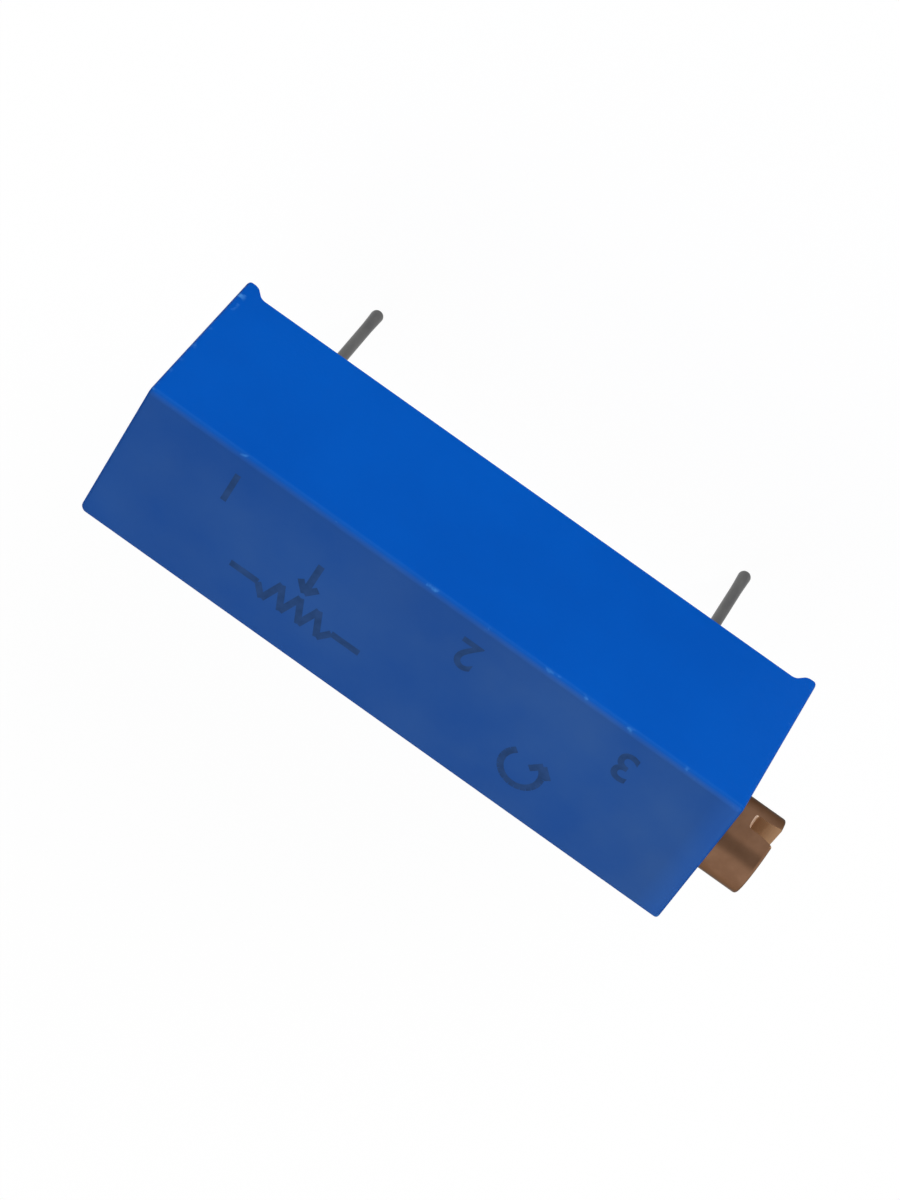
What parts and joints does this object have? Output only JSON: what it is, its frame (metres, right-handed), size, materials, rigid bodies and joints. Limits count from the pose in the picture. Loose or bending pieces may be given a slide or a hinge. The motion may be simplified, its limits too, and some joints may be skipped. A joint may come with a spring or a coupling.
{
  "type": "trimmer potentiometer",
  "caption": "Multi-turn trimmer potentiometer in a narrow blue case: a slotted end screw drives a wiper carriage along a cermet track; pins solder into a circuit board.",
  "frame": {"origin": "middle of the footprint, in the plane of the circuit board on which the two standoff rails rest", "axes": "+X along the case towards the end without the screw, -X out of the slotted screw head, -Y out of the side with the two end terminals, +Z away from the board; the pins point along -Z"},
  "size_m": [0.0203, 0.0048, 0.0101],
  "materials": {
    "case_plastic": "smooth moulded",
    "seal_resin": "cast, slightly glossy",
    "alumina": "fired, matt",
    "cermet_film": "fired film",
    "silver_film": "fired film, satin",
    "tinned_wire": "dull",
    "solder": "bright, smooth",
    "screw_brass": "turned",
    "ring_rubber": "smooth",
    "clip_steel": "stamped",
    "carriage_nylon": "moulded",
    "wiper_alloy": "stamped"
  },
  "bodies": {
    "case": {"housing": "case_plastic", "base_seal": "seal_resin", "ceramic_substrate": "alumina", "cermet_track": "cermet_film", "collector_track": "silver_film", "end_pad_1": "silver_film", "end_pad_3": "silver_film", "terminal_pin_1": "tinned_wire", "terminal_pin_2": "tinned_wire", "terminal_pin_3": "tinned_wire", "solder_joint_1": "solder", "solder_joint_2": "solder", "solder_joint_3": "solder", "shaft_retainer_clip": "clip_steel"},
    "screw": {"lead_screw": "screw_brass", "shaft_o_ring": "ring_rubber"},
    "carriage": {"wiper_carriage": "carriage_nylon", "wiper_contact": "wiper_alloy"}
  },
  "joints": [
    {"name": "screw_turn", "type": "hinge", "parent": "case", "child": "screw", "pos_m": [0, 0, 0.00457], "axis": [1, 0, 0], "range_deg": [-2700, 2700]},
    {"name": "carriage_slide", "type": "slide", "parent": "case", "child": "carriage", "axis": [1, 0, 0], "range_m": [-0.0045, 0.0045]}
  ],
  "couplings": [
    {"joint": "carriage_slide", "follows": "screw_turn", "m_per_rad": -0.000095493}
  ]
}
